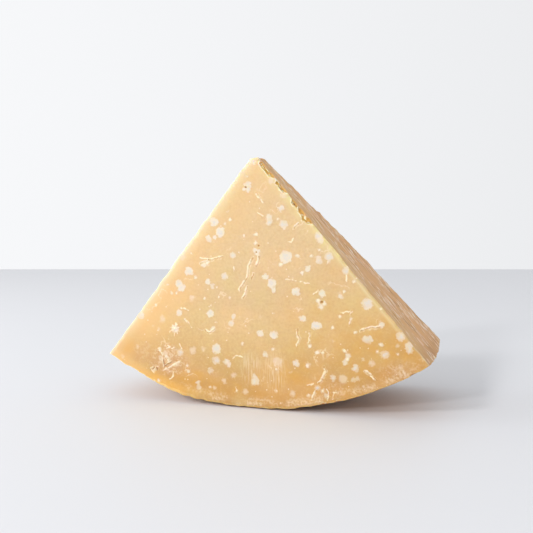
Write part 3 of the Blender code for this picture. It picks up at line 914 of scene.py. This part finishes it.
def fade(material, value, start, end, low=0.0, high=1.0):
    """Turns a value into low at start, high at end and a smooth change between."""
    ranged = add(
        material,
        "ShaderNodeMapRange",
        {"Value": value, "From Min": start, "From Max": end, "To Min": low, "To Max": high},
        interpolation_type="SMOOTHSTEP",
    )
    return ranged.outputs["Result"]


def times(material, first, second):
    """Two values multiplied."""
    return add(material, "ShaderNodeMath", {0: first, 1: second}, operation="MULTIPLY").outputs[0]


def plus(material, first, second):
    """Two values added."""
    return add(material, "ShaderNodeMath", {0: first, 1: second}, operation="ADD").outputs[0]


print("straw:", [round(part, 3) for part in colour("c9ae83")[:3]])

# %% [markdown]
# ## The paste
#
# Grana paste is a dense, dry cheese: straw-coloured, darker and more amber towards the rind where it
# dried, faintly blotched, with chalk-white crystals. Light enters it and comes out a few millimetres
# away, which makes thin edges glow. The nodes start from the straw colour by distance from the rind,
# and lay blotches, faint and clear crystals, pale strokes, golden cracks and specks over it. A glow along
# the thin left edge, and shade along the right edge, round the crystals and in the cracks, are painted in too.

# %% Paste, from the rind inwards
PASTE_BY_DISTANCE = (  # distance from the rind in mm, colour
    (0, "ac8143"),
    (7, "b1864a"),
    (20, "b8945a"),
    (35, "c2a26d"),
    (49, "c5a878"),
    (63, "c4a77b"),
    (78, "c6aa7f"),
)
INNERMOST = 90  # mm from the rind, the right end of the colour ramp
BLOTCH_PEACH = "d3ad7f"
BLOTCH_STRAW = "c4ad76"
MOTTLE_TAN = "b5905f"


def paste_colour(material, place):
    """The paste's colour, without crystals or marks."""
    ramp = add(
        material, "ShaderNodeValToRGB", {0: times(material, stored(material, "to_rind"), 1 / INNERMOST)}
    )
    stops = ramp.color_ramp.elements
    stops.remove(stops[1])
    stops[0].position, stops[0].color = 0.0, colour(PASTE_BY_DISTANCE[0][1])
    for distance, name in PASTE_BY_DISTANCE[1:]:
        stops.new(distance / INNERMOST).color = colour(name)
    blotches = add(material, "ShaderNodeTexNoise", {"Vector": place, "Scale": per(26), "Detail": 3.0})
    peach = fade(material, blotches.outputs["Fac"], 0.5, 0.66, 0.0, 0.3)
    straw = fade(material, blotches.outputs["Fac"], 0.5, 0.34, 0.0, 0.4)
    base = lay_over(material, ramp.outputs["Color"], colour(BLOTCH_PEACH), peach)
    base = lay_over(material, base, colour(BLOTCH_STRAW), straw)
    mottle = add(
        material, "ShaderNodeTexNoise", {"Vector": place, "Scale": per(4.5), "Detail": 5.0, "Roughness": 0.65}
    )
    return lay_over(
        material, base, colour(MOTTLE_TAN), fade(material, mottle.outputs["Fac"], 0.5, 0.75, 0.0, 0.3)
    )


# %% Paste, cut by a wire
PAINTED_GLOW_PEACH = "d6ae77"
FOOT_GOLD = "dca84a"
CORNER_CREAM = "e6c48c"
RIM_GLOW_BUTTER = "d4c79e"
THIN_EDGE_GLOW_PALE = "cdc7b7"
EDGE_BUTTER = "d0c69c"
EDGE_SHADE_TAN = "b79a66"
CHIPPED_YELLOW = "cebd84"
DEEP_AMBER = "c4933f"
BRUISE_BROWN = "b98d68"
CRYSTAL_WHITE = "d2c5af"
CRYSTAL_CORE = "c6c0b8"
CRUMB_CREAM = "e2d4b8"
FAINT_WHITE = "d4c1a8"
CRYSTAL_SHADE_RIM = "b58248"
# golden painted shade in the hollow of cracks and pits
CRACK_SHADE_GOLD = "b78c2e"
FLAKE_CREAM = "ddd6b8"
CRUMB_WHITE = "dccbb0"
# brown painted shade in narrow splits, grooves and pits
SPLIT_SHADE_BROWN = "95602e"
SCOOP_GOLD = "cf9c3e"
EDGE_CREAM = "ecd79c"
GRAIN_PALE = "d9c490"


def grana_paste():
    """Wire-cut hard cheese: matt, waxy, a little translucent."""
    material = bpy.data.materials.new("grana_paste_wire_cut")
    material.use_nodes = True
    shader = material.node_tree.nodes["Principled BSDF"]
    place = add(material, "ShaderNodeTexCoord").outputs["Object"]
    base = paste_colour(material, place)
    crumbs = add(material, "ShaderNodeTexNoise", {"Vector": place, "Scale": per(1.3), "Detail": 2.0})
    crumbs = crumbs.outputs["Fac"]
    grain = add(material, "ShaderNodeTexNoise", {"Vector": place, "Scale": per(1.5), "Detail": 4.0})
    grain = grain.outputs["Fac"]
    base = lay_over(material, base, colour(MOTTLE_TAN), fade(material, grain, 0.5, 0.66, 0.0, 0.2))
    base = lay_over(material, base, colour(GRAIN_PALE), fade(material, grain, 0.5, 0.34, 0.0, 0.15))
    amber = add(material, "ShaderNodeTexNoise", {"Vector": place, "Scale": per(8), "Detail": 3.0})
    amber = fade(material, amber.outputs["Fac"], 0.35, 0.65, 0.45, 1.05)
    amber = times(material, stored(material, "amber"), amber)
    base = lay_over(material, base, colour(DEEP_AMBER), amber)
    base = lay_over(material, base, colour(BRUISE_BROWN), times(material, stored(material, "crumbly"), 0.45))
    # painted glow: the paste is painted paler and peachier towards the thin left edge, where light shines through
    glow = fade(material, stored(material, "to_left"), 34.0, 4.0)
    glow = times(material, glow, fade(material, stored(material, "to_rind"), 90.0, 40.0, 0.35, 0.75))
    glow = times(material, glow, fade(material, stored(material, "to_rind"), 6.0, 30.0, 0.55, 1.0))
    base = lay_over(material, base, colour(PAINTED_GLOW_PEACH), glow)
    foot = times(
        material,
        fade(material, stored(material, "to_rind"), 7.0, 1.5),
        fade(material, stored(material, "to_left"), 68.0, 44.0, 0.0, 0.6),
    )
    foot = times(material, foot, fade(material, stored(material, "to_left"), 10.0, 42.0, 0.35, 1.0))
    base = lay_over(material, base, colour(FOOT_GOLD), foot)
    corner = times(
        material,
        fade(material, stored(material, "to_rind"), 9.0, 2.0),
        fade(material, stored(material, "to_left"), 32.0, 18.0, 0.0, 0.25),
    )
    base = lay_over(material, base, colour(CORNER_CREAM), corner)
    # painted glow: paler, buttery paste along the thin left edge, fading towards the rind
    rim = fade(material, stored(material, "to_left"), 8.0, 0.0, 0.0, 0.6)
    rim = times(material, rim, fade(material, stored(material, "to_rind"), 1.0, 36.0, 0.4, 1.0))
    base = lay_over(material, base, colour(RIM_GLOW_BUTTER), rim)
    # painted glow: the last few millimetres at the left edge are painted pale
    thin = fade(material, stored(material, "to_left"), 2.6, 0.2, 0.0, 0.55)
    base = lay_over(material, base, colour(THIN_EDGE_GLOW_PALE), thin)
    edge = times(
        material,
        fade(material, stored(material, "to_right"), 3.4, 1.2, 0.0, 0.5),
        fade(material, stored(material, "to_rind"), 14.0, 34.0, 0.1, 1.0),
    )
    base = lay_over(material, base, colour(EDGE_BUTTER), edge)
    # painted shade along the worn right edge, which turns away from the lamps
    painted_edge_shade = fade(material, stored(material, "to_right"), 1.7, 0.3, 0.0, 0.75)
    base = lay_over(material, base, colour(EDGE_SHADE_TAN), painted_edge_shade)
    chips = add(material, "ShaderNodeTexNoise", {"Vector": place, "Scale": per(3), "Detail": 3.0})
    chipped = times(
        material,
        times(material, stored(material, "chipped"), fade(material, chips.outputs["Fac"], 0.4, 0.58, 0.35, 1.0)),
        fade(material, stored(material, "to_left"), 3.0, 12.0),
    )
    base = lay_over(material, base, colour(CHIPPED_YELLOW), chipped)

    wobble = add(material, "ShaderNodeTexNoise", {"Vector": place, "Scale": per(1.7), "Detail": 3.0})
    wobble_mm = fade(material, wobble.outputs["Fac"], 0.3, 0.7, -0.55, 0.55)
    solid_here = add(material, "ShaderNodeTexNoise", {"Vector": place, "Scale": per(11), "Detail": 2.0})
    solid_here = fade(material, solid_here.outputs["Fac"], 0.36, 0.6, 0.65, 1.0)
    faint = fade(material, plus(material, stored(material, "faint_gap"), wobble_mm), 0.5, -1.3, 0.0, 0.6)
    base = lay_over(material, base, colour(FAINT_WHITE), faint)
    gap = plus(material, stored(material, "crystal_gap"), wobble_mm)
    # a darker amber ring of painted shade round each raised crystal
    crystal_shade_halo = times(material, fade(material, gap, 0.9, 0.3), 0.1)
    base = lay_over(material, base, colour(CRYSTAL_SHADE_RIM), crystal_shade_halo)
    crystal = times(material, fade(material, gap, 0.6, -0.6), solid_here)
    crystal = times(material, crystal, fade(material, stored(material, "to_rind"), 12.0, 42.0, 0.72, 1.0))
    base = lay_over(material, base, colour(CRYSTAL_WHITE), crystal)
    core = times(material, fade(material, gap, -0.9, -1.7), fade(material, crumbs, 0.35, 0.6, 0.3, 0.9))
    base = lay_over(material, base, colour(CRYSTAL_CORE), core)

    cells = add(material, "ShaderNodeTexVoronoi", {"Vector": place, "Scale": per(4.6)})
    speck_size = fade(material, solid_here, 0.6, 0.95, 0.02, 0.1)
    speck = add(material, "ShaderNodeMath", {0: cells.outputs["Distance"], 1: speck_size}, operation="LESS_THAN")
    base = lay_over(material, base, colour(CRUMB_WHITE), times(material, speck.outputs[0], 0.65))

    winding = add(material, "ShaderNodeTexNoise", {"Vector": place, "Scale": per(15), "Detail": 4.0})
    aside = add(material, "ShaderNodeMath", {0: winding.outputs["Fac"], 1: 0.5}, operation="SUBTRACT")
    aside = add(material, "ShaderNodeMath", {0: aside.outputs[0]}, operation="ABSOLUTE").outputs[0]
    cracked = add(material, "ShaderNodeTexNoise", {"Vector": place, "Scale": per(13), "Detail": 1.0})
    cracked = fade(material, cracked.outputs["Fac"], 0.58, 0.68)
    hair = times(material, fade(material, aside, 0.014, 0.004), cracked)
    base = lay_over(material, base, colour(CRUMB_CREAM), times(material, hair, 0.35))

    lines_place = add(
        material, "ShaderNodeMapping", {"Vector": place, "Scale": (per(0.65), per(30), per(8))}
    ).outputs[0]
    lines = add(material, "ShaderNodeTexNoise", {"Vector": lines_place, "Scale": 1.0, "Detail": 1.0})
    comb = times(material, stored(material, "comb"), fade(material, lines.outputs["Fac"], 0.46, 0.64, 0.12, 1.0))
    base = lay_over(material, base, colour(CRUMB_WHITE), times(material, comb, 0.42))

    band = times(
        material,
        fade(material, stored(material, "to_rind"), 8.0, 3.0),
        fade(material, stored(material, "to_rind"), 0.2, 1.8),
    )
    patchy = add(material, "ShaderNodeTexNoise", {"Vector": place, "Scale": per(9), "Detail": 2.0})
    band = times(material, band, fade(material, patchy.outputs["Fac"], 0.42, 0.6, 0.1, 1.0))
    band = times(material, band, fade(material, crumbs, 0.32, 0.68, 0.05, 0.55))
    band = times(material, band, fade(material, stored(material, "to_left"), 30.0, 55.0))
    base = lay_over(material, base, colour(CRUMB_WHITE), band)
    brim = times(
        material,
        fade(material, stored(material, "to_rind"), 0.8, 0.2),
        fade(material, stored(material, "to_left"), 62.0, 44.0, 0.2, 0.4),
    )
    base = lay_over(material, base, colour(EDGE_CREAM), brim)
    clumps = add(material, "ShaderNodeTexNoise", {"Vector": place, "Scale": per(3.4), "Detail": 3.0})
    clumps = fade(material, clumps.outputs["Fac"], 0.42, 0.58, 0.1, 1.0)
    crumbly = times(material, stored(material, "crumbly"), times(material, clumps, fade(material, crumbs, 0.44, 0.58)))
    base = lay_over(material, base, colour(CRUMB_WHITE), times(material, crumbly, 0.5))
    # brown painted shade in the gaps between crumbs
    splits = times(material, stored(material, "crumbly"), fade(material, crumbs, 0.36, 0.28, 0.0, 0.5))
    base = lay_over(material, base, colour(SPLIT_SHADE_BROWN), splits)
    beads = add(material, "ShaderNodeTexNoise", {"Vector": place, "Scale": per(1.4), "Detail": 2.0})
    pale = times(material, stored(material, "pale"), fade(material, beads.outputs["Fac"], 0.36, 0.56, 0.38, 1.0))
    pale = fade(material, pale, 0.05, 0.65, 0.0, 0.85)
    base = lay_over(material, base, colour(CRUMB_CREAM), pale)
    # golden and brown painted shade in the grooves of strokes and in pits
    base = lay_over(material, base, colour(CRACK_SHADE_GOLD), stored(material, "golden"))
    base = lay_over(material, base, colour(SPLIT_SHADE_BROWN), stored(material, "brown"))
    scoop = stored(material, "scoop_gap")
    flakes = times(material, fade(material, scoop, 1.5, 0.1), fade(material, crumbs, 0.42, 0.6))
    base = lay_over(material, base, colour(FLAKE_CREAM), times(material, flakes, 0.6))
    base = lay_over(material, base, colour(SCOOP_GOLD), fade(material, scoop, 0.0, -0.3, 0.0, 0.9))

    raised = plus(material, grain, plus(material, times(material, crystal, 0.6), pale))
    bump = add(material, "ShaderNodeBump", {"Height": raised, "Distance": 0.15 * MM, "Strength": 0.5})
    tree_links = material.node_tree.links
    tree_links.new(base, shader.inputs["Base Color"])
    tree_links.new(bump.outputs["Normal"], shader.inputs["Normal"])
    shader.inputs["Roughness"].default_value = 0.55
    shader.inputs["IOR"].default_value = 1.45
    shader.inputs["Subsurface Weight"].default_value = 0.7
    shader.inputs["Subsurface Radius"].default_value = (1.0, 0.6, 0.25)
    shader.inputs["Subsurface Scale"].default_value = 5 * MM
    return material


paste = grana_paste()
print("paste nodes:", len(paste.node_tree.nodes))

# %% [markdown]
# ## The torn right side
#
# The right side wasn't drawn smooth: the blade dragged the paste along from the tip to the rind. That
# leaves streaks, pale where the paste tore, and dark in the furrows, where the dark is painted shade. The
# streaks are one noise stretched along the side's own direction, and drawn a little coarse, because the
# picture sees them edge-on.

# %% Torn paste
TORN_TAN = "dcae74"
TORN_PINK = "dfaa70"
TORN_PALE = "f3d3b0"
TORN_DARK = "a06e42"
TORN_ORANGE = "c8853f"
TORN_WHITE = "f4dfc4"


def torn_paste():
    """Dragged hard cheese: browner paste with fine streaks along it."""
    material = bpy.data.materials.new("grana_paste_dragged")
    material.use_nodes = True
    shader = material.node_tree.nodes["Principled BSDF"]
    place = add(material, "ShaderNodeTexCoord").outputs["Object"]
    front_gap = stored(material, "to_front")
    base = lay_over(material, colour(TORN_TAN), colour(TORN_PINK), fade(material, front_gap, 6.0, 26.0))
    base = lay_over(material, base, colour(TORN_ORANGE), fade(material, stored(material, "to_rear"), 4.0, 1.0, 0.0, 0.4))
    base = lay_over(material, base, colour(TORN_DARK), fade(material, stored(material, "to_rind"), 16.0, 2.0, 0.0, 0.3))
    slope = math.atan2(-RIGHT_ALONG.z, RIGHT_ALONG.x)
    turned = add(material, "ShaderNodeMapping", {"Vector": place, "Rotation": (0, -slope, 0)}).outputs[0]
    streaks_place = add(
        material, "ShaderNodeMapping", {"Vector": turned, "Scale": (per(16), per(1.5), per(60))}
    ).outputs[0]
    streaks = add(material, "ShaderNodeTexNoise", {"Vector": streaks_place, "Scale": 1.0, "Detail": 3.0})
    streaked = add(material, "ShaderNodeTexNoise", {"Vector": place, "Scale": per(17), "Detail": 2.0})
    streaked = fade(material, streaked.outputs["Fac"], 0.38, 0.52, 0.15, 1.0)
    streaked = times(material, streaked, fade(material, front_gap, 3.0, 20.0, 0.3, 1.0))
    # the dark streaks are painted shade in the furrows
    dark = times(material, fade(material, streaks.outputs["Fac"], 0.48, 0.36, 0.0, 0.6), streaked)
    pale = times(material, fade(material, streaks.outputs["Fac"], 0.53, 0.64, 0.0, 0.7), streaked)
    base = lay_over(material, base, colour(TORN_DARK), dark)
    base = lay_over(material, base, colour(TORN_PALE), pale)
    dashes_place = add(
        material, "ShaderNodeMapping", {"Vector": turned, "Scale": (per(6.5), per(1.8), per(60))}
    ).outputs[0]
    dashes = add(material, "ShaderNodeTexNoise", {"Vector": dashes_place, "Scale": 1.0, "Detail": 1.0})
    dashes = times(material, fade(material, dashes.outputs["Fac"], 0.57, 0.66, 0.0, 0.9), streaked)
    base = lay_over(material, base, colour(TORN_WHITE), dashes)
    gap = stored(material, "crystal_gap")
    base = lay_over(material, base, colour(TORN_PALE), fade(material, gap, 0.3, -0.6, 0.0, 0.5))
    scoop = fade(material, stored(material, "scoop_gap"), 0.0, -0.4, 0.0, 0.8)
    base = lay_over(material, base, colour(SCOOP_GOLD), scoop)
    grain = add(material, "ShaderNodeTexNoise", {"Vector": place, "Scale": per(0.9), "Detail": 4.0})
    raised = plus(material, grain.outputs["Fac"], streaks.outputs["Fac"])
    bump = add(material, "ShaderNodeBump", {"Height": raised, "Distance": 0.4 * MM, "Strength": 0.6})
    tree_links = material.node_tree.links
    tree_links.new(base, shader.inputs["Base Color"])
    tree_links.new(bump.outputs["Normal"], shader.inputs["Normal"])
    shader.inputs["Roughness"].default_value = 0.6
    shader.inputs["Subsurface Weight"].default_value = 0.4
    shader.inputs["Subsurface Radius"].default_value = (1.0, 0.6, 0.25)
    shader.inputs["Subsurface Scale"].default_value = 3 * MM
    return material


torn = torn_paste()
print("torn nodes:", len(torn.node_tree.nodes))

# %% [markdown]
# ## The rind
#
# The rind is the same cheese, dried and oiled for two years: hard, golden tan, finely pitted and a
# little scuffed where the wheel was turned and stacked.

# %% Rind
RIND_TAN = "d09148"
RIND_DARK = "a9723a"
RIND_SCUFF = "ecd3a2"


def natural_rind():
    """Dry, oiled cheese rind: harder and glossier than the paste."""
    material = bpy.data.materials.new("natural_rind")
    material.use_nodes = True
    shader = material.node_tree.nodes["Principled BSDF"]
    place = add(material, "ShaderNodeTexCoord").outputs["Object"]
    clouds = add(material, "ShaderNodeTexNoise", {"Vector": place, "Scale": per(14), "Detail": 5.0})
    base = lay_over(
        material, colour(RIND_TAN), colour(RIND_DARK), fade(material, clouds.outputs["Fac"], 0.48, 0.7)
    )
    scuffs = add(material, "ShaderNodeTexNoise", {"Vector": place, "Scale": per(5), "Detail": 6.0})
    base = lay_over(
        material, base, colour(RIND_SCUFF), fade(material, scuffs.outputs["Fac"], 0.55, 0.75, 0.0, 0.45)
    )
    pores = add(material, "ShaderNodeTexVoronoi", {"Vector": place, "Scale": per(2.2)})
    pore_depth = fade(material, pores.outputs["Distance"], 0.3, 0.1, 1.0, 0.0)
    raised = plus(material, scuffs.outputs["Fac"], times(material, pore_depth, 0.3))
    bump = add(material, "ShaderNodeBump", {"Height": raised, "Distance": 0.5 * MM, "Strength": 0.5})
    tree_links = material.node_tree.links
    tree_links.new(base, shader.inputs["Base Color"])
    tree_links.new(bump.outputs["Normal"], shader.inputs["Normal"])
    shader.inputs["Roughness"].default_value = 0.45
    shader.inputs["Subsurface Weight"].default_value = 0.3
    shader.inputs["Subsurface Radius"].default_value = (1.0, 0.5, 0.2)
    shader.inputs["Subsurface Scale"].default_value = 3 * MM
    return material


rind = natural_rind()
print("rind nodes:", len(rind.node_tree.nodes))

# %% Give each side its finish
FINISHES = [paste, torn, rind]
FINISH_OF = {"right": torn, "rind": rind, "rest": rind}
for finish in FINISHES:
    chunk_mesh.materials.append(finish)
numbers = np.zeros(len(chunk_mesh.polygons), dtype=np.int32)
chunk_mesh.polygons.foreach_get("material_index", numbers)
finish_numbers = np.array([FINISHES.index(FINISH_OF.get(side, paste)) for side in SIDES], dtype=np.int32)
chunk_mesh.polygons.foreach_set("material_index", finish_numbers[numbers])
print("faces of each finish:", np.bincount(finish_numbers[numbers]))

# %% [markdown]
# ## Floor and light
#
# The chunk stands on a plain pale table top whose far edge shows behind it, in a bright room: soft
# light from everywhere, a little less from the right. Two lamps high at the front left, as large as
# windows far away, draw its short shadow, and a weak one on the left lights the thin left edge.

# %% Table top
TABLE_BACK = 1080 * MM  # behind the chunk
TABLE_REACH = 2600 * MM
table_work = bmesh.new()
bmesh.ops.create_grid(table_work, x_segments=1, y_segments=1, size=TABLE_REACH)
bmesh.ops.translate(table_work, vec=(0, TABLE_BACK - TABLE_REACH, 0), verts=table_work.verts)
bmesh.ops.rotate(table_work, verts=table_work.verts, matrix=Matrix.Rotation(CAMERA_TURN, 3, "Z"))
table_mesh = bpy.data.meshes.new("table_top")
table_work.to_mesh(table_mesh)
table_work.free()
table = bpy.data.objects.new("table_top", table_mesh)
bpy.context.collection.objects.link(table)

pale_top = bpy.data.materials.new("pale_table_top")
pale_top.use_nodes = True
top_shader = pale_top.node_tree.nodes["Principled BSDF"]
top_shader.inputs["Base Color"].default_value = colour("d1d2d5")
top_shader.inputs["Roughness"].default_value = 0.6
table_mesh.materials.append(pale_top)
print("table top:", 2 * TABLE_REACH, "m a side")

# %% Room light and lamp
world = bpy.data.worlds.new("bright_room")
bpy.context.scene.world = world
world.use_nodes = True
direction = add(world, "ShaderNodeTexCoord").outputs["Generated"]
sideways = add(world, "ShaderNodeSeparateXYZ", {0: direction}).outputs["X"]
room = add(world, "ShaderNodeValToRGB", {0: fade(world, sideways, -1.0, 1.0)})
room.color_ramp.elements[0].color = colour("fbfbfd")
room.color_ramp.elements[1].color = colour("dcdde0")
for position, name in ((0.1, "f7f8fa"), (0.5, "edeef0")):
    room.color_ramp.elements.new(position).color = colour(name)
background = world.node_tree.nodes["Background"]
world.node_tree.links.new(room.outputs["Color"], background.inputs["Color"])
background.inputs["Strength"].default_value = 1.0

LAMP_AIM = Vector((0, 0, 70)) * MM
LAMPS = {  # place in mm, side in metres, power in watts
    "front_window_high": ((-1442, -2264, 1700), 0.44, 36.0),
    "front_window_low": ((-994, -2808, 1160), 0.28, 32.0),
    "side_window": ((-900, -400, 330), 0.8, 4.0),
}
for name, (place, side, power) in LAMPS.items():
    lamp = bpy.data.objects.new(name, bpy.data.lights.new(name, "AREA"))
    bpy.context.collection.objects.link(lamp)
    lamp.data.shape = "SQUARE"
    lamp.data.size = side
    lamp.data.energy = power
    lamp.location = Vector(place) * MM
    lamp.rotation_euler = (LAMP_AIM - lamp.location).to_track_quat("-Z", "Y").to_euler()
    print(name, round((LAMP_AIM - lamp.location).length, 2), "m away")
bpy.context.scene.view_settings.view_transform = "Standard"
